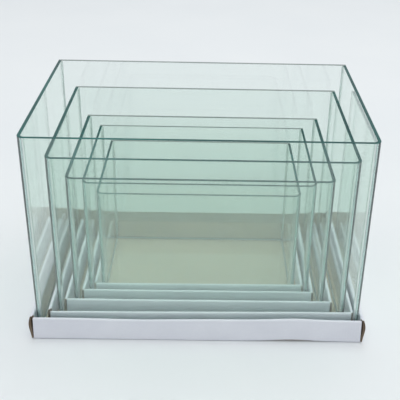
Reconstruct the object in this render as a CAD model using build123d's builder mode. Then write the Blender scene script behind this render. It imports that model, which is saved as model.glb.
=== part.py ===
from build123d import *
import os

# Nested set of rimless bent-glass tanks, each one standing in a folded card tray.
# Millimetres. +X to the right, +Y to the back, +Z up.
# Origin: centre of the outer tray's underside.

# ---------------------------------------------------------------- driving dimensions

# One row per tank with the tray that it stands in, from the outermost in.
#   width, depth, height: outside of the tank; glass: thickness of its panes
#   board: thickness of the tray's card; wall: height of the tray's walls
#   front_room: from the glass in front to the tray; side_slack, back_slack and
#   front_slack: from the tray's walls to the tank; tray_aside, tank_aside: offsets in X
#   belly: how far the rolled side walls bow out past their foot
#   taper: how much narrower the front wall is at its top, each side
sizes = [
    dict(width=400.0, depth=262.0, height=270.0, glass=4.0, board=1.8, wall=34.4, belly=2.0, taper=2.8,
         front_room=0.0, front_slack=1.6, side_slack=1.2, back_slack=2.6, tray_aside=0.0, tank_aside=0.0),
    dict(width=359.0, depth=226.0, height=234.0, glass=4.0, board=1.5, wall=31.0, belly=0.4, taper=0.6,
         front_room=4.0, front_slack=2.9, side_slack=5.4, back_slack=2.4, tray_aside=4.2, tank_aside=4.6),
    dict(width=316.0, depth=187.0, height=196.0, glass=4.0, board=1.5, wall=31.0, belly=0.4, taper=0.6,
         front_room=6.0, front_slack=2.5, side_slack=5.0, back_slack=2.0, tray_aside=0.7, tank_aside=1.3),
    dict(width=279.0, depth=166.0, height=179.0, glass=3.0, board=1.5, wall=31.0, belly=0.4, taper=0.6,
         front_room=4.6, front_slack=1.4, side_slack=2.0, back_slack=0.8, tray_aside=-0.6, tank_aside=0.2),
    dict(width=247.0, depth=149.5, height=156.0, glass=3.0, board=1.5, wall=31.0, belly=0.4, taper=0.6,
         front_room=2.4, front_slack=1.0, side_slack=4.2, back_slack=0.7, tray_aside=0.4, tank_aside=-0.8),
]

bend_radius = 9.0        # outside of the bent front corners
arris = 0.4              # ground bevel on the edges of the glass
silicone_layer = 0.4     # silicone between two panes
foot_bead = 1.2          # silicone fillet around the inside of the base
corner_bead = 2.0        # silicone fillet up each back corner
bead_below_rim = 1.0     # the corner beads stop short of the rim
roll_room = 0.8          # hollow between the two layers of a rolled side wall
front_lap = 1.8          # how far the front wall's ends lap the side walls' inner layers
front_rounding = 0.9     # radius along the front wall's top, as a share of the card's thickness
belly_height = 0.62      # where a side wall bows out most, as a share of its height

os.makedirs("parts", exist_ok=True)


def keep(piece, name):
    """Label one finished piece and write it."""
    piece.part.label = name
    export_step(piece.part, "parts/" + name + ".step")


def bent_outline(half_width, front, back, radius):
    """Plan of a pane's footprint: rounded corners at the front, square ones at the back."""
    with BuildSketch() as outline:
        with Locations((0, front)):
            Rectangle(2 * half_width, back - front, align=(Align.CENTER, Align.MIN))
        fillet(outline.vertices().group_by(Axis.Y)[0], radius)
    return outline.sketch


def facing_front(x, y, z):
    """Plane that stands up in X and Z and looks to the front."""
    return Plane(origin=(x, y, z), x_dir=(1, 0, 0), z_dir=(0, -1, 0))


def rolled_wall(foot, inner_face, board, wall, belly):
    """Section of a side wall: up from its foot, over the top and down on the inside."""
    layer = board / 2
    outer_top = inner_face + 2 * board + roll_room - layer
    inner_top = inner_face + layer
    crown = (outer_top - inner_top) / 2
    shoulder = wall - layer - crown
    with BuildSketch() as section:
        with BuildLine():
            Spline(
                (foot - layer, 0),
                (foot - layer + belly, wall * belly_height),
                (outer_top, shoulder),
                tangents=((0, 1), (0, 1)),
            )
            ThreePointArc((outer_top, shoulder), (inner_top + crown, wall - layer), (inner_top, shoulder))
            Line((inner_top, shoulder), (inner_top, layer))
        trace(line_width=board)
    return section.sketch


def make_tray(number, size, x, front, base):
    """One sheet of card: a floor, a rolled front and sides, and a single wall at the back."""
    board = size["board"]
    wall = size["wall"]
    tank_half = size["width"] / 2
    inner_face = tank_half + abs(size["tank_aside"] - size["tray_aside"]) + size["side_slack"]
    foot = inner_face + 2 * board + roll_room
    tray_depth = 2 * board + size["front_slack"] + size["depth"] + size["back_slack"] + board
    front_low = inner_face + front_lap
    front_high = front_low - size["taper"]

    with BuildPart() as tray:
        # floor
        with BuildSketch(Plane(origin=(x, front, base))):
            Rectangle(2 * foot, tray_depth, align=(Align.CENTER, Align.MIN))
        extrude(amount=board)
        # rolled side walls, open at both ends
        with BuildSketch(facing_front(x, front, base)):
            section = rolled_wall(foot, inner_face, board, wall, size["belly"])
            add(section)
            add(mirror(section, about=Plane.YZ, mode=Mode.PRIVATE))
        extrude(amount=-tray_depth)
        # front wall, two layers, a little narrower at the top
        with BuildSketch(facing_front(x, front, base)):
            with BuildLine():
                Polyline(
                    (-front_low, 0),
                    (front_low, 0),
                    (front_high, wall),
                    (-front_high, wall),
                    close=True,
                )
            make_face()
        extrude(amount=-2 * board)
        front_top = tray.faces().group_by(Axis.Z)[-1].sort_by(Axis.Y)[0]
        fillet(front_top.edges().filter_by(Axis.X), board * front_rounding)
        # back wall, one layer
        with BuildSketch(facing_front(x, front + tray_depth - board, base)):
            Rectangle(2 * front_low, wall, align=(Align.CENTER, Align.MIN))
        extrude(amount=-board)
    keep(tray, "tray_%d" % number)


def make_tank(number, size, x, front, base):
    """Six pieces: base, bent front and sides, back, and the silicone of the base and back corners."""
    half = size["width"] / 2
    depth = size["depth"]
    glass = size["glass"]
    inner_half = half - glass
    inner_radius = bend_radius - glass
    inner_back = depth - glass
    wall_foot = base + glass + silicone_layer
    fillet_foot = base + glass + foot_bead
    rim = base + size["height"]
    name = "tank_%d_" % number

    with BuildPart() as base_pane:
        with BuildSketch(Plane(origin=(x, front, base))):
            add(bent_outline(half, 0, depth, bend_radius))
        extrude(amount=glass)
        chamfer(base_pane.edges().group_by(Axis.Z)[0], arris)
    keep(base_pane, name + "base_pane")

    with BuildPart() as bent_pane:
        with BuildSketch(Plane(origin=(x, front, wall_foot))):
            add(bent_outline(half, 0, inner_back - silicone_layer, bend_radius))
            add(bent_outline(inner_half, glass, depth, inner_radius), mode=Mode.SUBTRACT)
        extrude(amount=rim - wall_foot)
        chamfer(bent_pane.edges().group_by(Axis.Z)[-1], arris)
    keep(bent_pane, name + "bent_pane")

    with BuildPart() as back_pane:
        with BuildSketch(Plane(origin=(x, front + inner_back, wall_foot))):
            Rectangle(2 * half, glass, align=(Align.CENTER, Align.MIN))
        extrude(amount=rim - wall_foot)
        chamfer(back_pane.edges().group_by(Axis.Z)[-1], arris)
    keep(back_pane, name + "back_pane")

    with BuildPart() as base_silicone:
        # bed under the walls
        with BuildSketch(Plane(origin=(x, front, base + glass))):
            add(bent_outline(half - arris, arris, depth - arris, bend_radius - arris))
        extrude(amount=silicone_layer)
        # fillet around the inside
        with BuildSketch(Plane(origin=(x, front, base + glass))):
            add(bent_outline(inner_half, glass, inner_back, inner_radius))
        extrude(amount=foot_bead)
        # hollow that widens upwards to the panes
        with BuildSketch(Plane(origin=(x, front, base + glass))):
            add(bent_outline(inner_half - foot_bead, glass + foot_bead, inner_back - foot_bead,
                             inner_radius - foot_bead))
        with BuildSketch(Plane(origin=(x, front, fillet_foot))):
            add(bent_outline(inner_half, glass, inner_back, inner_radius))
        loft(ruled=True, mode=Mode.SUBTRACT)
    keep(base_silicone, name + "base_silicone")

    for side, sign in (("left", -1), ("right", 1)):
        with BuildPart() as corner_silicone:
            # layer between the side's end and the back pane
            with BuildSketch(Plane(origin=(x + sign * (half - glass / 2), front + inner_back, wall_foot))):
                Rectangle(glass, silicone_layer, align=(Align.CENTER, Align.MAX))
            extrude(amount=rim - bead_below_rim - wall_foot)
            # fillet in the inside corner
            with BuildSketch(Plane(origin=(x + sign * inner_half, front + inner_back, fillet_foot))):
                with BuildLine():
                    Polyline((0, 0), (-sign * corner_bead, 0), (0, -corner_bead), close=True)
                make_face()
            extrude(amount=rim - bead_below_rim - fillet_foot)
        keep(corner_silicone, name + "corner_silicone_" + side)


# The outer tray's underside is centred on the origin, and the rest stacks up from there.
outer = sizes[0]
outer_depth = 3 * outer["board"] + outer["front_slack"] + outer["depth"] + outer["back_slack"]
glass_in_front = -outer_depth / 2
floor_below = 0.0

for number, size in enumerate(sizes, start=1):
    tray_front = glass_in_front + size["front_room"]
    tank_front = tray_front + 2 * size["board"] + size["front_slack"]
    tank_base = floor_below + size["board"]
    make_tray(number, size, size["tray_aside"], tray_front, floor_below)
    make_tank(number, size, size["tank_aside"], tank_front, tank_base)
    glass_in_front = tank_front + size["glass"]
    floor_below = tank_base + size["glass"]
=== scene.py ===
import math

import bmesh
import bpy
from mathutils import Matrix, Vector, noise


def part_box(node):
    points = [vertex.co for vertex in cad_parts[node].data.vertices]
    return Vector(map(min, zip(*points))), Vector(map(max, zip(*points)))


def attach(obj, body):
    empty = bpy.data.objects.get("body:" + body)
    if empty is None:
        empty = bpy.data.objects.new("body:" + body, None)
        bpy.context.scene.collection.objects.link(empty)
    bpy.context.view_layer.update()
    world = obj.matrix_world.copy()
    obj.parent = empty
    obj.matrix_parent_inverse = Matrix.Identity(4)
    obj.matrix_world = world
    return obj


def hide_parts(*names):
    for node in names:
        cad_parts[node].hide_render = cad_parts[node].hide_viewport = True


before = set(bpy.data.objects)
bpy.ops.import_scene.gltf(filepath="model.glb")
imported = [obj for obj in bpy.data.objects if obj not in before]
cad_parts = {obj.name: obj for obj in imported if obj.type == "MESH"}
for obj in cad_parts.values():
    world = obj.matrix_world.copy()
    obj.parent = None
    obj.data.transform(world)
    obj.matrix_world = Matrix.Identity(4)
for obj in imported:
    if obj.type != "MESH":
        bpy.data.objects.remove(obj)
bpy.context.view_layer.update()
scene = bpy.context.scene

mm = 0.001
setSize = 5            # tanks in the nested set


# camera, light and floor

cameraView = {
    "place": (0.00916, -0.87194, 0.61477),
    "pitch": 27.35,       # degrees down
    "yaw": 1.0,           # degrees to the right
    "roll": 1.36,
    "lens": 67.6,
    "shift": (-0.0478, -0.0643),
    "sensor": 36,
    "farthest": 60,
}

studio = {
    "skyColor": (0.93, 0.965, 1.0),
    "skyStrength": 0.7,
    "keyPlace": (0.3, 0.3, 3.2),
    "keySize": 3.6,
    "keyPower": 60.0,
    "keyColor": (1.0, 0.995, 0.985),
    "floorReach": 9.0,
    "floorSides": 72,
    "floorDrop": 0.2 * mm,    # below the trays, so that no faces share a plane
}


def setCamera(view):
    cam = bpy.data.objects.new("studioCamera", bpy.data.cameras.new("studioCamera"))
    scene.collection.objects.link(cam)
    pitch, yaw, roll = (math.radians(view[k]) for k in ("pitch", "yaw", "roll"))
    ahead = Vector((math.sin(yaw) * math.cos(pitch), math.cos(yaw) * math.cos(pitch), -math.sin(pitch)))
    level = Vector((math.cos(yaw), -math.sin(yaw), 0))
    upward = level.cross(ahead)
    right = level * math.cos(roll) + upward * math.sin(roll)
    top = upward * math.cos(roll) - level * math.sin(roll)
    turn = Matrix((right, top, -ahead)).transposed().to_4x4()
    cam.matrix_world = Matrix.Translation(view["place"]) @ turn
    cam.data.lens = view["lens"]
    cam.data.sensor_width = view["sensor"]
    cam.data.shift_x, cam.data.shift_y = view["shift"]
    cam.data.clip_end = view["farthest"]
    scene.camera = cam


def setLight(look):
    world = bpy.data.worlds.new("studioSky")
    world.use_nodes = True
    sky = world.node_tree.nodes["Background"]
    sky.inputs["Color"].default_value = (*look["skyColor"], 1)
    sky.inputs["Strength"].default_value = look["skyStrength"]
    scene.world = world
    lamp = bpy.data.lights.new("softbox", "AREA")
    lamp.size = look["keySize"]
    lamp.energy = look["keyPower"]
    lamp.color = look["keyColor"]
    key = bpy.data.objects.new("softbox", lamp)
    scene.collection.objects.link(key)
    place = Vector(look["keyPlace"])
    aim = (-place).to_track_quat("-Z", "Y").to_matrix().to_4x4()
    key.matrix_world = Matrix.Translation(place) @ aim


setCamera(cameraView)
setLight(studio)
scene.view_settings.view_transform = "Standard"
scene.cycles.max_bounces = 40
scene.cycles.transmission_bounces = 40
scene.cycles.glossy_bounces = 12
scene.cycles.diffuse_bounces = 5
scene.cycles.transparent_max_bounces = 24
# no softening of glass seen from the card, or the light behind the panes is lost
scene.cycles.blur_glossy = 0.0
scene.cycles.use_denoising = True
print("camera and light set")


# shader groups

grain = {
    "alongStretch": (1, 0.18, 0.6),
    "acrossStretch": (0.22, 1, 0.8),
    "fibreRange": (0.42, 0.72),
    "cloudRange": (0.3, 0.7),
}
fluteFade = {"scale": 30.0, "range": (0.35, 0.65), "weakest": 0.35}
wear = {
    "sweptStretch": (1, 1, 0.25),
    "smearRange": (0.5, 0.78),
    "dustScale": 260.0,
    "dustRange": (0.05, 0.11),
}


def groupSocket(tree, name, way, kind, value=None):
    socket = tree.interface.new_socket(name=name, in_out=way, socket_type="NodeSocket" + kind)
    if value is not None:
        socket.default_value = value


def addNode(tree, kind, **settings):
    node = tree.nodes.new(kind)
    for key, value in settings.items():
        if key == "inputs":
            for name, given in value.items():
                node.inputs[name].default_value = given
        else:
            setattr(node, key, value)
    return node


def mapRange(tree, source, low, high, newLow=0.0, newHigh=1.0):
    node = addNode(tree, "ShaderNodeMapRange", inputs={
        "From Min": low, "From Max": high, "To Min": newLow, "To Max": newHigh})
    tree.links.new(source, node.inputs["Value"])
    return node.outputs["Result"]


def mathNode(tree, operation, first, second):
    node = addNode(tree, "ShaderNodeMath", operation=operation)
    for index, value in enumerate((first, second)):
        if isinstance(value, (int, float)):
            node.inputs[index].default_value = value
        else:
            tree.links.new(value, node.inputs[index])
    return node.outputs[0]


def noiseNode(tree, place, scale, detail=3.0, roughness=0.55):
    node = addNode(tree, "ShaderNodeTexNoise", inputs={"Detail": detail, "Roughness": roughness})
    tree.links.new(place, node.inputs["Vector"])
    if isinstance(scale, (int, float)):
        node.inputs["Scale"].default_value = scale
    else:
        tree.links.new(scale, node.inputs["Scale"])
    return node.outputs["Fac"]


def stretched(tree, place, scale):
    node = addNode(tree, "ShaderNodeMapping", inputs={"Scale": scale})
    tree.links.new(place, node.inputs["Vector"])
    return node.outputs["Vector"]


def makePaperFibre():
    tree = bpy.data.node_groups.new("paperFibre", "ShaderNodeTree")
    groupSocket(tree, "Place", "INPUT", "Vector")
    groupSocket(tree, "Fibre Scale", "INPUT", "Float", 900.0)
    groupSocket(tree, "Cloud Scale", "INPUT", "Float", 22.0)
    groupSocket(tree, "Fibre", "OUTPUT", "Float")
    groupSocket(tree, "Cloud", "OUTPUT", "Float")
    ends = addNode(tree, "NodeGroupInput"), addNode(tree, "NodeGroupOutput")
    place = ends[0].outputs["Place"]
    scale = ends[0].outputs["Fibre Scale"]
    along = noiseNode(tree, stretched(tree, place, grain["alongStretch"]), scale, 4)
    across = noiseNode(tree, stretched(tree, place, grain["acrossStretch"]), scale, 3)
    fibre = mathNode(tree, "MAXIMUM", along, across)
    tree.links.new(mapRange(tree, fibre, *grain["fibreRange"]), ends[1].inputs["Fibre"])
    cloud = noiseNode(tree, place, ends[0].outputs["Cloud Scale"], 5)
    tree.links.new(mapRange(tree, cloud, *grain["cloudRange"]), ends[1].inputs["Cloud"])
    return tree


def makeFluteShadow():
    tree = bpy.data.node_groups.new("fluteShadow", "ShaderNodeTree")
    groupSocket(tree, "Place", "INPUT", "Vector")
    groupSocket(tree, "Flutes per Metre", "INPUT", "Float", 300.0)
    groupSocket(tree, "Ridge", "OUTPUT", "Float")
    ends = addNode(tree, "NodeGroupInput"), addNode(tree, "NodeGroupOutput")
    parts = addNode(tree, "ShaderNodeSeparateXYZ")
    tree.links.new(ends[0].outputs["Place"], parts.inputs[0])
    turns = mathNode(tree, "MULTIPLY", parts.outputs["X"], ends[0].outputs["Flutes per Metre"])
    swing = mathNode(tree, "SINE", mathNode(tree, "MULTIPLY", turns, 2 * math.pi), 0)
    patches = noiseNode(tree, ends[0].outputs["Place"], fluteFade["scale"], 2)
    fade = mapRange(tree, patches, *fluteFade["range"], fluteFade["weakest"], 1)
    half = mapRange(tree, swing, -1, 1)
    tree.links.new(mathNode(tree, "MULTIPLY", half, fade), ends[1].inputs["Ridge"])
    return tree


def makeHandling():
    tree = bpy.data.node_groups.new("handlingMarks", "ShaderNodeTree")
    groupSocket(tree, "Place", "INPUT", "Vector")
    groupSocket(tree, "Smear Scale", "INPUT", "Float", 18.0)
    groupSocket(tree, "Smear", "OUTPUT", "Float")
    groupSocket(tree, "Dust", "OUTPUT", "Float")
    ends = addNode(tree, "NodeGroupInput"), addNode(tree, "NodeGroupOutput")
    place = ends[0].outputs["Place"]
    swept = stretched(tree, place, wear["sweptStretch"])
    smear = noiseNode(tree, swept, ends[0].outputs["Smear Scale"], 5, 0.6)
    tree.links.new(mapRange(tree, smear, *wear["smearRange"]), ends[1].inputs["Smear"])
    speck = addNode(tree, "ShaderNodeTexVoronoi", inputs={
        "Scale": wear["dustScale"], "Randomness": 1.0})
    tree.links.new(place, speck.inputs["Vector"])
    dust = mapRange(tree, speck.outputs["Distance"], *wear["dustRange"], 1, 0)
    tree.links.new(dust, ends[1].inputs["Dust"])
    return tree


paperFibre = makePaperFibre()
fluteShadow = makeFluteShadow()
handlingMarks = makeHandling()


# finishes

finish = {
    "whiteTop": (0.80, 0.81, 0.86), "whiteLow": (0.72, 0.73, 0.79),
    "kraftTop": (0.64, 0.52, 0.42), "kraftLow": (0.53, 0.44, 0.33),
    "cutTop": (0.52, 0.42, 0.32), "cutLow": (0.34, 0.25, 0.17),
    "glassBody": (0.235, 0.65, 0.45),
    # painted shade: the darker teal of a bent corner seen from the side
    "bendPaintedShade": ((0.04, 0.40, 0.36), (0.10, 0.50, 0.46)),
    # painted shade: a near-black teal for the dark seen down into a bent pane's rim
    "sideRimPaintedShade": ((0.008, 0.085, 0.078), (0.03, 0.19, 0.17)),
    "backRimTints": ((0.26, 0.32, 0.30), (0.40, 0.46, 0.44)),
    "glassDepth": 24.0,       # how densely the body colour takes light away
    "siliconeTop": (0.80, 0.86, 0.84), "siliconeLow": (0.66, 0.74, 0.71),
    "floorTop": (0.80, 0.82, 0.825), "floorLow": (0.775, 0.80, 0.81),
}
linerLook = {
    "flutesPerMetre": 300.0,
    "smearScale": 14.0,
    "smearShare": 0.18,
    "dulling": 0.86,          # a smear against the darker tone
    "roughRange": 0.14,
    "bumpStrength": 0.35,
    "bumpHeight": 0.12 * mm,
}
glassLook = {
    "ior": 1.52,
    "smearScale": 11.0,
    "tintScale": 7.0,
    "tintRange": (0.35, 0.65),
    "rippleScale": 9.0,
    "rippleHeight": 0.4 * mm,
}
siliconeLook = {
    "ior": 1.41,
    "clearness": 0.75,
    "cloudScale": 60.0,
    "smearScale": 40.0,
    "roughRange": (0.28, 0.5),
    "bumpStrength": 0.2,
    "bumpHeight": 0.2 * mm,
}
floorLook = {"cloudScale": 3.0, "roughRange": (0.5, 0.6)}


def newMaterial(name):
    material = bpy.data.materials.new(name)
    material.use_nodes = True
    tree = material.node_tree
    place = addNode(tree, "ShaderNodeTexCoord").outputs["Object"]
    return material, tree, tree.nodes["Principled BSDF"], place


def useGroup(tree, group, place, **values):
    node = addNode(tree, "ShaderNodeGroup", node_tree=group)
    tree.links.new(place, node.inputs["Place"])
    for name, value in values.items():
        node.inputs[name.replace("_", " ")].default_value = value
    return node


def mixColors(tree, factor, low, high):
    node = addNode(tree, "ShaderNodeMix", data_type="RGBA")
    tree.links.new(factor, node.inputs[0])
    for index, color in ((6, low), (7, high)):
        if isinstance(color, tuple):
            node.inputs[index].default_value = (*color, 1)
        else:
            tree.links.new(color, node.inputs[index])
    return node.outputs[2]


def addBump(tree, height, shader, strength, distance):
    bump = addNode(tree, "ShaderNodeBump", inputs={"Strength": strength, "Distance": distance})
    tree.links.new(height, bump.inputs["Height"])
    tree.links.new(bump.outputs["Normal"], shader.inputs["Normal"])


def makeLiner(name, low, high, rough, fibreShare):
    material, tree, shader, place = newMaterial(name)
    paper = useGroup(tree, paperFibre, place)
    flutes = useGroup(tree, fluteShadow, place, Flutes_per_Metre=linerLook["flutesPerMetre"])
    marks = useGroup(tree, handlingMarks, place, Smear_Scale=linerLook["smearScale"])
    cloud = paper.outputs["Cloud"]
    fibre = mathNode(tree, "MULTIPLY", paper.outputs["Fibre"], fibreShare)
    tone = mathNode(tree, "ADD", mathNode(tree, "MULTIPLY", cloud, 1 - fibreShare), fibre)
    color = mixColors(tree, tone, low, high)
    worn = mathNode(tree, "MULTIPLY", marks.outputs["Smear"], linerLook["smearShare"])
    dull = tuple(value * linerLook["dulling"] for value in low)
    tree.links.new(mixColors(tree, worn, color, dull), shader.inputs["Base Color"])
    roughness = mapRange(tree, cloud, 0, 1, rough, rough + linerLook["roughRange"])
    tree.links.new(roughness, shader.inputs["Roughness"])
    # half ridge, half fibre
    ridge = mathNode(tree, "MULTIPLY", flutes.outputs["Ridge"], 0.5)
    height = mathNode(tree, "ADD", ridge, mathNode(tree, "MULTIPLY", fibre, 0.5))
    addBump(tree, height, shader, linerLook["bumpStrength"], linerLook["bumpHeight"])
    return material


def makeGlass(name, lowRough, highRough, ripple, tintsAndShade=None, clearness=1.0, mirror=0.5, fade=None):
    # two colours that a slow cloud runs between, fade is where they come in; on the bends and on the
    # bent panes' rims these colours are painted shade, on the back panes' rims they are the ground
    # edge's own colour
    material, tree, shader, place = newMaterial(name)
    shader.inputs["Base Color"].default_value = (1, 1, 1, 1)
    if tintsAndShade:
        slow = noiseNode(tree, place, glassLook["tintScale"], 2)
        cloud = mapRange(tree, slow, *glassLook["tintRange"])
        color = mixColors(tree, cloud, *tintsAndShade)
        if fade:
            share = addNode(tree, "ShaderNodeAttribute", attribute_name=fade).outputs["Fac"]
            color = mixColors(tree, share, (1, 1, 1), color)
        tree.links.new(color, shader.inputs["Base Color"])
    shader.inputs["Transmission Weight"].default_value = clearness
    shader.inputs["Specular IOR Level"].default_value = mirror
    shader.inputs["Metallic"].default_value = 0
    shader.inputs["IOR"].default_value = glassLook["ior"]
    marks = useGroup(tree, handlingMarks, place, Smear_Scale=glassLook["smearScale"])
    soiled = mathNode(tree, "MAXIMUM", marks.outputs["Smear"], marks.outputs["Dust"])
    tree.links.new(mapRange(tree, soiled, 0, 1, lowRough, highRough), shader.inputs["Roughness"])
    ripples = noiseNode(tree, place, glassLook["rippleScale"], 2)
    addBump(tree, ripples, shader, ripple, glassLook["rippleHeight"])
    inside = addNode(tree, "ShaderNodeVolumeAbsorption", inputs={
        "Color": (*finish["glassBody"], 1), "Density": finish["glassDepth"]})
    tree.links.new(inside.outputs[0], tree.nodes["Material Output"].inputs["Volume"])
    return material


def makeSilicone():
    material, tree, shader, place = newMaterial("clearSilicone")
    paper = useGroup(tree, paperFibre, place, Cloud_Scale=siliconeLook["cloudScale"])
    cloud = paper.outputs["Cloud"]
    marks = useGroup(tree, handlingMarks, place, Smear_Scale=siliconeLook["smearScale"])
    color = mixColors(tree, cloud, finish["siliconeLow"], finish["siliconeTop"])
    tree.links.new(color, shader.inputs["Base Color"])
    roughness = mapRange(tree, marks.outputs["Smear"], 0, 1, *siliconeLook["roughRange"])
    tree.links.new(roughness, shader.inputs["Roughness"])
    shader.inputs["Transmission Weight"].default_value = siliconeLook["clearness"]
    shader.inputs["IOR"].default_value = siliconeLook["ior"]
    addBump(tree, cloud, shader, siliconeLook["bumpStrength"], siliconeLook["bumpHeight"])
    return material


def makeFloorFinish():
    material, tree, shader, place = newMaterial("paleFloor")
    paper = useGroup(tree, paperFibre, place, Cloud_Scale=floorLook["cloudScale"])
    cloud = paper.outputs["Cloud"]
    color = mixColors(tree, cloud, finish["floorLow"], finish["floorTop"])
    tree.links.new(color, shader.inputs["Base Color"])
    roughness = mapRange(tree, cloud, 0, 1, *floorLook["roughRange"])
    tree.links.new(roughness, shader.inputs["Roughness"])
    return material


whiteLiner = makeLiner("whiteLiner", finish["whiteLow"], finish["whiteTop"], rough=0.5, fibreShare=0.3)
kraftLiner = makeLiner("kraftLiner", finish["kraftLow"], finish["kraftTop"], rough=0.72, fibreShare=0.5)
cutBoard = makeLiner("cutBoard", finish["cutLow"], finish["cutTop"], rough=0.85, fibreShare=0.6)
clearGlass = makeGlass("clearGlass", lowRough=0.0, highRough=0.03, ripple=0.04)
# glass for the bends, its colour painted shade where bendShade is high
bendGlass = makeGlass("bendGlass", lowRough=0.0, highRough=0.03, ripple=0.04,
                      tintsAndShade=finish["bendPaintedShade"], clearness=0.9, fade="bendShade")
# the bent panes' rims, mostly a near-black teal diffuse: painted shade
sideRim = makeGlass("sideRim", lowRough=0.08, highRough=0.22, ripple=0.1,
                    tintsAndShade=finish["sideRimPaintedShade"], clearness=0.35, mirror=0.12)
backRim = makeGlass("backRim", lowRough=0.15, highRough=0.3, ripple=0.1,
                    tintsAndShade=finish["backRimTints"], clearness=0.35)
clearSilicone = makeSilicone()
paleFloor = makeFloorFinish()
print("finishes made")


# mesh helpers

def newPiece(name, points, faces, materials, faceSlots=None, sharpAngle=32, tidyNormals=True):
    mesh = bpy.data.meshes.new(name)
    mesh.from_pydata([tuple(p) for p in points], [], faces)
    for material in materials:
        mesh.materials.append(material)
    if faceSlots:
        mesh.polygons.foreach_set("material_index", faceSlots)
    if tidyNormals:
        shape = bmesh.new()
        shape.from_mesh(mesh)
        bmesh.ops.remove_doubles(shape, verts=shape.verts, dist=1e-7)
        bmesh.ops.recalc_face_normals(shape, faces=shape.faces)
        shape.to_mesh(mesh)
        shape.free()
    mesh.polygons.foreach_set("use_smooth", [True] * len(mesh.polygons))
    mesh.set_sharp_from_angle(angle=math.radians(sharpAngle))
    piece = bpy.data.objects.new(name, mesh)
    scene.collection.objects.link(piece)
    return piece


def settleNormals(piece, sharpAngle):
    # shared normals lean towards the largest face, so flat glass stays optically flat
    piece.data.set_sharp_from_angle(angle=math.radians(sharpAngle))
    modifier = piece.modifiers.new("settle", "WEIGHTED_NORMAL")
    modifier.weight = 100
    modifier.keep_sharp = True
    shown = piece.evaluated_get(bpy.context.evaluated_depsgraph_get())
    mesh = bpy.data.meshes.new_from_object(shown)
    piece.modifiers.remove(modifier)
    piece.data = mesh
    mesh.name = piece.name


def arcPoints(center, radius, start, end, count):
    angles = [math.radians(start + (end - start) * i / count) for i in range(count + 1)]
    return [(center[0] + radius * math.cos(a), center[1] + radius * math.sin(a)) for a in angles]


def quarterTurn(steps):
    return [math.radians(90 * i / steps) for i in range(steps + 1)]


def roundedPlan(half, front, back, radius):
    # anticlockwise from the back right corner: square at the back, round at the front
    steps = glass["bendSteps"]
    plan = [(half, back), (-half, back)]
    plan += arcPoints((-half + radius, front + radius), radius, 180, 270, steps)
    plan += arcPoints((half - radius, front + radius), radius, 270, 360, steps)
    return plan


def planOutward(plan):
    # corner by corner, the outward direction that keeps every side parallel to itself
    outward = []
    for i, here in enumerate(plan):
        before, after = Vector(plan[i - 1]), Vector(plan[(i + 1) % len(plan)])
        sides = (Vector(here) - before).normalized(), (after - Vector(here)).normalized()
        normals = [Vector((s.y, -s.x)) for s in sides]
        middle = (normals[0] + normals[1]).normalized()
        # the limit keeps a very sharp corner from running far out
        outward.append(middle / max(0.3, middle.dot(normals[0])))
    return outward


def sweepRing(plan, section, center):
    # section points are (distance outwards, height); the ring closes on itself
    outward = planOutward(plan)
    points, faces = [], []
    for (x, y), away in zip(plan, outward):
        for out, high in section:
            points.append((center + x + away.x * out, y + away.y * out, high))
    rows, each = len(plan), len(section)
    for i in range(rows):
        for j in range(each):
            k, n = (i + 1) % rows, (j + 1) % each
            faces.append((i * each + j, k * each + j, k * each + n, i * each + n))
    return points, faces


# geometry node trees

def newTree(name, sockets):
    tree = bpy.data.node_groups.new(name, "GeometryNodeTree")
    groupSocket(tree, "Geometry", "INPUT", "Geometry")
    for label, kind, value in sockets:
        groupSocket(tree, label, "INPUT", kind, value)
    groupSocket(tree, "Geometry", "OUTPUT", "Geometry")
    return tree, addNode(tree, "NodeGroupInput"), addNode(tree, "NodeGroupOutput")


def endTree(tree, shape, ends):
    real = addNode(tree, "GeometryNodeRealizeInstances")
    paint = addNode(tree, "GeometryNodeSetMaterial")
    tree.links.new(shape, real.inputs["Geometry"])
    tree.links.new(real.outputs[0], paint.inputs["Geometry"])
    tree.links.new(ends[0].outputs["Material"], paint.inputs["Material"])
    tree.links.new(paint.outputs[0], ends[1].inputs["Geometry"])


def makeBentSheetTree():
    # a rounded strip of glass swept along its plan, which is bent at each inner corner
    tree, given, out = newTree("bentSheet", [
        ("Thickness", "Float", 0.004), ("Height", "Float", 0.2), ("Bend Radius", "Float", 0.007),
        ("Bend Steps", "Int", 14), ("Arris", "Float", 0.0004), ("Material", "Material", None)])
    line = addNode(tree, "GeometryNodeMeshToCurve")
    bend = addNode(tree, "GeometryNodeFilletCurve", mode="POLY")
    upright = addNode(tree, "GeometryNodeSetCurveNormal", mode="Z_UP")
    strip = addNode(tree, "GeometryNodeCurvePrimitiveQuadrilateral")
    seam = addNode(tree, "GeometryNodeFilletCurve", mode="POLY", inputs={"Count": 3})
    sweep = addNode(tree, "GeometryNodeCurveToMesh", inputs={"Fill Caps": True})
    links = [
        (given.outputs["Geometry"], line.inputs["Mesh"]), (line.outputs[0], bend.inputs["Curve"]),
        (given.outputs["Bend Radius"], bend.inputs["Radius"]),
        (given.outputs["Bend Steps"], bend.inputs["Count"]),
        (bend.outputs[0], upright.inputs["Curve"]), (upright.outputs[0], sweep.inputs["Curve"]),
        (given.outputs["Thickness"], strip.inputs["Width"]),
        (given.outputs["Height"], strip.inputs["Height"]),
        (strip.outputs[0], seam.inputs["Curve"]), (given.outputs["Arris"], seam.inputs["Radius"]),
        (seam.outputs[0], sweep.inputs["Profile Curve"]),
    ]
    for a, b in links:
        tree.links.new(a, b)
    endTree(tree, sweep.outputs[0], (given, out))
    return tree


def namedVector(tree, name):
    node = addNode(tree, "GeometryNodeInputNamedAttribute", data_type="FLOAT_VECTOR")
    node.inputs["Name"].default_value = name
    return node.outputs[0]


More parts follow.
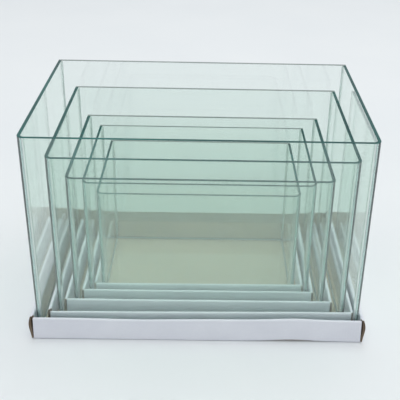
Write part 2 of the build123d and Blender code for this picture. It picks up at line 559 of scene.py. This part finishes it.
def makeFluteTree():
    # a wavy ribbon between two liners, set back into a cut edge
    tree, given, out = newTree("fluteRibbon", [
        ("Pitch", "Float", 0.0033), ("Swing", "Float", 0.0006), ("Depth", "Float", 0.0016),
        ("Steps per Flute", "Int", 8), ("Paper", "Float", 0.00016), ("Material", "Material", None)])
    line = addNode(tree, "GeometryNodeMeshToCurve")
    step = addNode(tree, "ShaderNodeMath", operation="DIVIDE")
    even = addNode(tree, "GeometryNodeResampleCurve", mode="LENGTH")
    reach = addNode(tree, "GeometryNodeSplineParameter")
    turns = addNode(tree, "ShaderNodeMath", operation="DIVIDE")
    angle = addNode(tree, "ShaderNodeMath", operation="MULTIPLY")
    angle.inputs[1].default_value = 2 * math.pi
    wave = addNode(tree, "ShaderNodeMath", operation="SINE")
    size = addNode(tree, "ShaderNodeMath", operation="MULTIPLY")
    across = namedVector(tree, "across")
    inward = namedVector(tree, "inward")
    shift = addNode(tree, "ShaderNodeVectorMath", operation="SCALE")
    move = addNode(tree, "GeometryNodeSetPosition")
    edges = addNode(tree, "GeometryNodeCurveToMesh")
    back = addNode(tree, "GeometryNodeExtrudeMesh", mode="EDGES")
    thick = addNode(tree, "GeometryNodeExtrudeMesh", mode="FACES", inputs={"Individual": False})
    under = addNode(tree, "GeometryNodeFlipFaces")
    both = addNode(tree, "GeometryNodeJoinGeometry")
    weld = addNode(tree, "GeometryNodeMergeByDistance", inputs={"Distance": 1e-6})
    links = [
        (given.outputs["Geometry"], line.inputs["Mesh"]), (given.outputs["Pitch"], step.inputs[0]),
        (given.outputs["Steps per Flute"], step.inputs[1]), (line.outputs[0], even.inputs["Curve"]),
        (step.outputs[0], even.inputs["Length"]), (even.outputs[0], move.inputs["Geometry"]),
        (reach.outputs["Length"], turns.inputs[0]), (given.outputs["Pitch"], turns.inputs[1]),
        (turns.outputs[0], angle.inputs[0]), (angle.outputs[0], wave.inputs[0]),
        (wave.outputs[0], size.inputs[0]), (given.outputs["Swing"], size.inputs[1]),
        (across, shift.inputs[0]), (size.outputs[0], shift.inputs["Scale"]),
        (shift.outputs[0], move.inputs["Offset"]), (move.outputs[0], edges.inputs["Curve"]),
        (edges.outputs[0], back.inputs["Mesh"]), (inward, back.inputs["Offset"]),
        (given.outputs["Depth"], back.inputs["Offset Scale"]),
        (back.outputs["Mesh"], thick.inputs["Mesh"]),
        (given.outputs["Paper"], thick.inputs["Offset Scale"]),
        (back.outputs["Mesh"], under.inputs["Mesh"]),
        (thick.outputs["Mesh"], both.inputs[0]), (under.outputs[0], both.inputs[0]),
        (both.outputs[0], weld.inputs["Geometry"]),
    ]
    for a, b in links:
        tree.links.new(a, b)
    endTree(tree, weld.outputs[0], (given, out))
    return tree


def bakeTree(piece, tree, values, sharpAngle=32):
    modifier = piece.modifiers.new(tree.name, "NODES")
    modifier.node_group = tree
    sockets = {s.name: s.identifier for s in tree.interface.items_tree if s.in_out == "INPUT"}
    for name, value in values.items():
        modifier[sockets[name]] = value
    shown = piece.evaluated_get(bpy.context.evaluated_depsgraph_get())
    mesh = bpy.data.meshes.new_from_object(shown)
    piece.modifiers.remove(modifier)
    piece.data = mesh
    mesh.name = piece.name
    mesh.polygons.foreach_set("use_smooth", [True] * len(mesh.polygons))
    mesh.set_sharp_from_angle(angle=math.radians(sharpAngle))
    return piece


def newLine(name, runs):
    # runs of (point, across, inward), each one an open line of edges
    points, edges, across, inward = [], [], [], []
    for run in runs:
        first = len(points)
        for point, side, into in run:
            points.append(tuple(point))
            across.extend(side)
            inward.extend(into)
        edges += [(first + i, first + i + 1) for i in range(len(run) - 1)]
    mesh = bpy.data.meshes.new(name)
    mesh.from_pydata(points, edges, [])
    for label, flat in (("across", across), ("inward", inward)):
        mesh.attributes.new(label, "FLOAT_VECTOR", "POINT").data.foreach_set("vector", flat)
    piece = bpy.data.objects.new(name, mesh)
    scene.collection.objects.link(piece)
    return piece


bentSheet = makeBentSheetTree()
fluteRibbon = makeFluteTree()
print("node trees made")


# glass

glass = {
    "bend": 9.0 * mm,         # outside radius of the bent corners
    "bendSteps": 14,
    "arris": 0.4 * mm,
    "arrisRound": 0.3,        # 0 is a sharp corner, 0.5 a flat bevel
    "rimBand": 1.3,           # arrises down from the top that still count as rim
    "filmGap": 0.03 * mm,     # keeps silicone and card off the glass faces
    "shadeReach": 0.65,       # share of a bend that gets painted shade, from the side
    "shadeRise": 0.5,         # share of a bend's depth over which that comes in
    "sharpAngle": 12,         # over a bend's step, under an arris's
}


def seamRim(piece, rim, rimFinish, inBend=None):
    # the ground rim gets a material of its own, painted shade on a bent pane's rim, and the faces of
    # the bends get glass with painted shade
    mesh = piece.data
    mesh.materials.clear()
    for material in (clearGlass, rimFinish) + ((bendGlass,) if inBend else ()):
        mesh.materials.append(material)
    band = glass["rimBand"] * glass["arris"]
    for face in mesh.polygons:
        high = min(mesh.vertices[v].co.z for v in face.vertices) > rim - band
        face.material_index = 1 if high else 2 if inBend and inBend(face.center) else 0


def standIn(piece, node, body):
    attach(piece, body)
    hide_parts(node)


def makeBentPane(number):
    node = f"tank_{number}_bent_pane"
    low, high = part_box(node)
    backLow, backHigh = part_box(f"tank_{number}_back_pane")
    thick = backHigh.y - backLow.y
    middle = (low.z + high.z) / 2
    ends = [(low.x, high.y), (low.x, low.y), (high.x, low.y), (high.x, high.y)]
    inset = thick / 2
    line = [(x + inset if x == low.x else x - inset, y + inset if y == low.y else y) for x, y in ends]
    nothing = (0.0, 0.0, 0.0)
    piece = newLine(f"bentPane{number}", [[((x, y, middle), nothing, nothing) for x, y in line]])
    bakeTree(piece, bentSheet, {
        "Thickness": thick, "Height": high.z - low.z, "Bend Radius": glass["bend"] - inset,
        "Bend Steps": glass["bendSteps"], "Arris": glass["arris"], "Material": clearGlass})
    bend = glass["bend"]

    def fromSide(place):
        return min(place.x - low.x, high.x - place.x)

    def inBend(place):
        return place.y < low.y + bend and fromSide(place) < bend

    # painted shade on each bend: strongest at the pane's sides towards the front, fading back along the
    # side and in along the front
    shades = []
    for vertex in piece.data.vertices:
        aside = max(0.0, 1 - fromSide(vertex.co) / (glass["shadeReach"] * bend))
        ahead = (low.y + bend - vertex.co.y) / (glass["shadeRise"] * bend)
        shades.append(aside * max(0.0, min(1.0, ahead)))
    piece.data.attributes.new("bendShade", "FLOAT", "POINT").data.foreach_set("value", shades)
    seamRim(piece, high.z, sideRim, inBend)
    settleNormals(piece, glass["sharpAngle"])
    standIn(piece, node, f"tank_{number}")


def makeFlatPane(number, kind, plan):
    node = f"tank_{number}_{kind}_pane"
    low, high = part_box(node)
    a = glass["arris"]
    r = glass["arrisRound"] * a
    # the base stays a hair clear of the card below and above it
    gap = glass["filmGap"] if kind == "base" else 0
    foot, head = low.z + gap, high.z - gap
    section = [(-a, foot), (-r, foot + r), (0, foot + a)]
    section += [(0, head - a), (-r, head - r), (-a, head)]
    points, faces = sweepRing(plan, section, 0)
    rows, each = len(plan), len(section)
    # the ring is open on its inner side: the two flat faces close it
    faces = [f for f in faces if not {f[0] % each, f[3] % each} == {0, each - 1}]
    faces.append([i * each for i in range(rows)])
    faces.append([i * each + each - 1 for i in range(rows)])
    piece = newPiece(f"{kind}Pane{number}", points, faces, [clearGlass])
    if kind == "back":
        seamRim(piece, high.z, backRim)
    settleNormals(piece, glass["sharpAngle"])
    standIn(piece, node, f"tank_{number}")


silicone = {
    "bed": 0.4 * mm,          # between two panes
    "footBead": 1.2 * mm,
    "cornerBead": 2.0 * mm,
    "beadSteps": 6,
    "cornerRows": 40,
    "wander": 0.22,           # largest share that a corner bead thins by
    "wanderScale": 38,
    "sharpAngle": 50,
}


def makeBaseSilicone(number):
    node = f"tank_{number}_base_silicone"
    low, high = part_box(f"tank_{number}_base_pane")
    backLow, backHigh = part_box(f"tank_{number}_back_pane")
    thick = backHigh.y - backLow.y
    gap, bead = glass["filmGap"], silicone["footBead"]
    half, center = (high.x - low.x) / 2 - thick, (low.x + high.x) / 2
    plan = roundedPlan(half, low.y + thick, backLow.y, glass["bend"] - thick)
    foot = high.z + gap
    wall = high.z + silicone["bed"] - gap
    hollow = [(-bead + bead * math.sin(a), foot + bead * (1 - math.cos(a)))
              for a in quarterTurn(silicone["beadSteps"])]
    edge = thick - glass["arris"]
    section = [(edge, foot), (-bead, foot)] + hollow[1:-1]
    section += [(-gap, foot + bead), (-gap, wall), (edge, wall)]
    points, faces = sweepRing(plan, section, center)
    piece = newPiece(f"baseSilicone{number}", points, faces, [clearSilicone],
                     sharpAngle=silicone["sharpAngle"])
    standIn(piece, node, f"tank_{number}")


def makeCornerSilicone(number, side, sign):
    node = f"tank_{number}_corner_silicone_{side}"
    low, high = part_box(node)
    backLow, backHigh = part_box(f"tank_{number}_back_pane")
    thick = backHigh.y - backLow.y
    gap, bed = glass["filmGap"], silicone["bed"]
    outer = high.x if sign > 0 else low.x
    inner = outer - sign * thick
    back = backLow.y - gap
    rows = silicone["cornerRows"]
    points, faces = [], []
    for i in range(rows + 1):
        z = low.z + (high.z - low.z) * i / rows
        # the tooled fillet thins here and there, and no two corners alike
        spot = Vector((number * 7.1, sign * 3.3, z * silicone["wanderScale"]))
        thinning = silicone["wander"] * (0.5 + 0.5 * noise.noise(spot))
        r = silicone["cornerBead"] * (1 - thinning)
        arc = [(r * (1 - math.sin(a)), r * (1 - math.cos(a)))
               for a in quarterTurn(silicone["beadSteps"])]
        ring = [(outer - sign * gap, back), (inner - sign * r, back)]
        ring += [(inner - sign * x, back - y) for x, y in arc[1:-1]]
        ring += [(inner - sign * gap, back - r), (inner - sign * gap, back - bed + 2 * gap)]
        ring += [(outer - sign * gap, back - bed + 2 * gap)]
        points += [(x, y, z) for x, y in ring]
    each = len(ring)
    for i in range(rows):
        for j in range(each):
            n = (j + 1) % each
            faces.append((i * each + j, i * each + n, (i + 1) * each + n, (i + 1) * each + j))
    faces += [list(range(each)), list(range(rows * each, (rows + 1) * each))]
    piece = newPiece(f"cornerSilicone{number}{side.title()}", points, faces, [clearSilicone],
                     sharpAngle=silicone["sharpAngle"])
    standIn(piece, node, f"tank_{number}")


def makeTank(number):
    low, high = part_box(f"tank_{number}_base_pane")
    center, half = (low.x + high.x) / 2, (high.x - low.x) / 2
    basePlan = [(x + center, y) for x, y in roundedPlan(half, low.y, high.y, glass["bend"])]
    backLow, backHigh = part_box(f"tank_{number}_back_pane")
    backPlan = [(backHigh.x, backHigh.y), (backLow.x, backHigh.y)]
    backPlan += [(backLow.x, backLow.y), (backHigh.x, backLow.y)]
    makeBentPane(number)
    makeFlatPane(number, "base", basePlan)
    makeFlatPane(number, "back", backPlan)
    makeBaseSilicone(number)
    makeCornerSilicone(number, "left", -1)
    makeCornerSilicone(number, "right", 1)
    print(f"tank {number} made")


for number in range(1, setSize + 1):
    makeTank(number)


# card trays

outerCard = {
    "board": 1.8 * mm, "belly": 2.2 * mm, "bellyPeak": 0.62, "roll": 0.8 * mm, "lap": 1.8 * mm,
    "taper": 1.0 * mm, "fold": 1.3 * mm, "wander": 0.5 * mm,
    "frontWave": 1.5 * mm, "frontLift": 2.4 * mm, "frontSag": 2.0 * mm,
}
innerCard = {
    "board": 1.5 * mm, "belly": 0.4 * mm, "bellyPeak": 0.62, "roll": 0.8 * mm, "lap": 1.8 * mm,
    "taper": 0.6 * mm, "fold": 1.1 * mm, "wander": 0.15 * mm,
    "frontWave": 0.3 * mm, "frontLift": 0.0, "frontSag": 0.2 * mm,
}
# how far each front wall's top sinks at its left end, from the outer tray in
leftSag = [value * mm for value in (1.2, 3.8, 0.2, 0.0, 0.8)]
tray = {
    "clear": 0.25 * mm,           # from a side wall's ends to the box and to the walls they meet
    "innerFoot": 0.3 * mm,        # the turned-down layers end this far above the floor
    "frontFold": 0.08 * mm,       # inside radius of the front wall's top
    "footGap": 0.05 * mm,         # from the front wall's foot to the floor's edge
    "sideScale": 14, "backScale": 12,           # how fast the walls wander
    "dipPlace": -0.07, "dipReach": 0.055,       # metres along the front wall, from its middle
    "kinkPlace": 0.118, "kinkReach": 0.035,
    "floorSteps": 12, "foldSteps": 5, "riseSteps": 10, "crownSteps": 10, "innerSteps": 6,
    "depthSteps": 36, "frontSteps": 72, "frontRise": 8, "backSteps": 60, "backRise": 8,
}
cutEdge = {
    "liner": 0.28 * mm,
    "recess": 4.0 * mm,
    "flutesBack": 1.6 * mm,
    "pitch": 3.3 * mm,
    "fluteSteps": 8,
    "fluteClear": 0.12 * mm,      # from the line the flutes follow to each liner
    "paper": 0.16 * mm,
}


def stepsBetween(start, end, count):
    return [start + (end - start) * i / count for i in range(count + 1)]


def gridNormals(grid):
    rows, columns = len(grid), len(grid[0])
    normals = []
    for i in range(rows):
        row = []
        for j in range(columns):
            along = grid[min(i + 1, rows - 1)][j] - grid[max(i - 1, 0)][j]
            over = grid[i][min(j + 1, columns - 1)] - grid[i][max(j - 1, 0)]
            row.append(along.cross(over).normalized())
        normals.append(row)
    return normals


def sheetOfBoard(name, grid, board, cutEnds):
    # grid[i][j] is the middle of the sheet: i goes across the folds, j along them.
    # The side that its normals point to is white, the other is brown. Both j ends are cut.
    normals = gridNormals(grid)
    rows, columns = len(grid), len(grid[0])
    points, faces, slots = [], [], []

    def addPoint(place):
        points.append(place)
        return len(points) - 1

    top = [[addPoint(grid[i][j] + normals[i][j] * board / 2) for j in range(columns)]
           for i in range(rows)]
    low = [[addPoint(grid[i][j] - normals[i][j] * board / 2) for j in range(columns)]
           for i in range(rows)]
    for i in range(rows - 1):
        for j in range(columns - 1):
            faces.append((top[i][j], top[i + 1][j], top[i + 1][j + 1], top[i][j + 1]))
            faces.append((low[i][j], low[i][j + 1], low[i + 1][j + 1], low[i + 1][j]))
            slots += [0, 1]
    runs, corners = [], {}
    for j, inner in ((0, 1), (columns - 1, columns - 2)):
        rings, run = [], []
        for i in range(rows):
            place, normal = grid[i][j], normals[i][j]
            into = (grid[i][inner] - place).normalized()
            core = normal * (board / 2 - cutEdge["liner"])
            deep = into * cutEdge["recess"]
            ring = [top[i][j], addPoint(place + core), addPoint(place + core + deep)]
            ring += [addPoint(place - core + deep), addPoint(place - core), low[i][j]]
            rings.append(ring)
            run.append((place + into * cutEdge["flutesBack"], normal, into))
        for i in range(rows - 1):
            for k in range(5):
                faces.append((rings[i][k], rings[i][k + 1], rings[i + 1][k + 1], rings[i + 1][k]))
                slots.append(2)
        for end in (0, rows - 1):
            faces.append(rings[end][1:5])
            slots.append(2)
            corners[end, j] = [rings[end][1], rings[end][4]]
        runs.append(run)
    for i in (0, rows - 1):
        for j in range(columns - 1):
            faces.append([top[i][j], top[i][j + 1]] + corners.get((i, j + 1), [])
                         + [low[i][j + 1], low[i][j]] + corners.get((i, j), [])[::-1])
            slots.append(2)
    piece = newPiece(name, points, faces, [whiteLiner, kraftLiner, cutBoard],
                     faceSlots=slots, sharpAngle=40)
    return piece, [run for run, wanted in zip(runs, cutEnds) if wanted]


def wallBow(share, peak):
    power = math.log(0.5) / math.log(peak)
    return math.sin(math.pi * max(0.0, min(1.0, share)) ** power)


def halfSection(card, foot, inner, wall):
    # from the floor's centre line outwards, up the side, over the roll and down inside
    board, fold = card["board"], card["fold"]
    layer = board / 2
    outerX = foot - layer
    innerX = inner + layer
    crown = (outerX - innerX) / 2
    shoulder = wall - layer - crown
    path = [(x, layer) for x in stepsBetween(0, outerX - fold, tray["floorSteps"])]
    path += arcPoints((outerX - fold, layer + fold), fold, -90, 0, tray["foldSteps"])[1:]
    span = shoulder - layer - fold
    for z in stepsBetween(layer + fold, shoulder, tray["riseSteps"])[1:]:
        bow = wallBow((z - layer - fold) / span, card["bellyPeak"])
        path.append((outerX + card["belly"] * bow, z))
    path += arcPoints((outerX - crown, shoulder), crown, 0, 180, tray["crownSteps"])[1:]
    down = stepsBetween(shoulder, board + tray["innerFoot"], tray["innerSteps"])
    path += [(innerX, z) for z in down[1:]]
    return path


def joinPieces(pieces, name):
    with bpy.context.temp_override(active_object=pieces[0], selected_editable_objects=pieces):
        bpy.ops.object.join()
    pieces[0].name = name
    pieces[0].data.name = name
    return pieces[0]


def makeTray(number):
    card = outerCard if number == 1 else innerCard
    node = f"tray_{number}"
    low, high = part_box(node)
    center, base, wall = (low.x + high.x) / 2, low.z, high.z - low.z
    board, layer = card["board"], card["board"] / 2
    foot = (high.x - low.x) / 2 - card["belly"]
    inner = foot - 2 * board - card["roll"]
    front, back = low.y, high.y
    clear = tray["clear"]
    seed = Vector((number * 11.3, 0, 0))       # each tray wanders its own way

    # floor and rolled sides: one section carried from front to back
    half = halfSection(card, foot, inner, wall)
    lastOfFloor = tray["floorSteps"] + 1
    topOfRoll = lastOfFloor + tray["foldSteps"] + tray["riseSteps"] + tray["crownSteps"] / 2
    section = list(reversed(half)) + [(-x, z) for x, z in half[1:]]
    middle = len(half) - 1
    grid = []
    for index, (x, z) in enumerate(section):
        place = abs(index - middle)
        onFloor = place <= lastOfFloor
        onInner = place > topOfRoll
        startY = front + (board + card["fold"] if onFloor else 2 * board + clear if onInner else clear)
        endY = back - (board + clear if onFloor or onInner else clear)
        row = []
        for y in stepsBetween(startY, endY, tray["depthSteps"]):
            spot = seed + Vector((0, y * tray["sideScale"], 2 + math.copysign(3, x)))
            sway = 0 if onFloor else card["wander"] * noise.noise(spot)
            bowed = abs(x) + min(0, sway) * (z / wall)
            row.append(Vector((center + math.copysign(bowed, x), y, base + z)))
        grid.append(row)
    body, sideCuts = sheetOfBoard(f"cardBody{number}", grid, board, (True, True))

    # front wall: up, over and down again, a little narrower at its top
    lapHalf = inner + card["lap"]
    turn = layer + tray["frontFold"]
    shoulder = wall - layer - turn
    profile = [(board + card["fold"] - tray["footGap"], layer)]
    profile += [(layer + card["fold"] + y, layer + card["fold"] + z)
                for y, z in arcPoints((0, 0), card["fold"], 270, 180, tray["foldSteps"])]
    rise = stepsBetween(layer + card["fold"], shoulder, tray["frontRise"])
    profile += [(layer, z) for z in rise[1:]]
    profile += arcPoints((layer + turn, shoulder), turn, 180, 0, tray["crownSteps"])[1:]
    down = stepsBetween(shoulder, board + tray["innerFoot"], tray["innerSteps"])
    profile += [(layer + 2 * turn, z) for z in down[1:]]
    grid = []
    for y, z in profile:
        share = max(0, z - layer) / (wall - layer)
        reach = lapHalf - card["taper"] * share
        row = []
        for x in stepsBetween(reach, -reach, tray["frontSteps"]):
            dip = -card["frontWave"] * math.exp(-((x - tray["dipPlace"]) / tray["dipReach"]) ** 2)
            kink = math.exp(-((x - tray["kinkPlace"]) / tray["kinkReach"]) ** 2)
            leftward = 0.5 - x / (2 * lapHalf)
            sag = -card["frontSag"] * (1 - kink) + dip - leftSag[number - 1] * leftward
            drop = card["frontLift"] * kink * (1 - share) + sag * share
            row.append(Vector((center + x, front + y, base + z + drop)))
        grid.append(row)
    frontWall = sheetOfBoard(f"cardFront{number}", grid, board, (False, False))[0]

    # back wall: one layer, its cut edge upwards
    grid = []
    for x in stepsBetween(-lapHalf, lapHalf, tray["backSteps"]):
        spot = seed + Vector((x * tray["backScale"], 5, 0))
        lean = card["wander"] * (0.5 + 0.5 * noise.noise(spot))
        row = []
        for z in stepsBetween(wall, layer, tray["backRise"]):
            row.append(Vector((center + x, back - layer - lean * z / wall, base + z)))
        grid.append(row)
    backWall, backCuts = sheetOfBoard(f"cardBack{number}", grid, board, (True, False))

    piece = joinPieces([body, frontWall, backWall], f"cardTray{number}")
    standIn(piece, node, node)

    flutes = newLine(f"cardFlutes{number}", sideCuts + backCuts)
    bakeTree(flutes, fluteRibbon, {
        "Pitch": cutEdge["pitch"],
        "Swing": layer - cutEdge["liner"] - cutEdge["fluteClear"],
        "Depth": cutEdge["recess"] - cutEdge["flutesBack"],
        "Steps per Flute": cutEdge["fluteSteps"],
        "Paper": cutEdge["paper"],
        "Material": cutBoard}, sharpAngle=60)
    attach(flutes, node)
    print(f"tray {number} made")


for number in range(1, setSize + 1):
    makeTray(number)


# floor

def makeFloor(look):
    reach, sides = look["floorReach"], look["floorSides"]
    points = [(reach * math.cos(a), reach * math.sin(a), -look["floorDrop"])
              for a in (math.radians(360 * i / sides) for i in range(sides))]
    floor = newPiece("studioFloor", points, [list(range(sides))], [paleFloor], tidyNormals=False)


makeFloor(studio)
print("floor made")

bpy.context.view_layer.update()
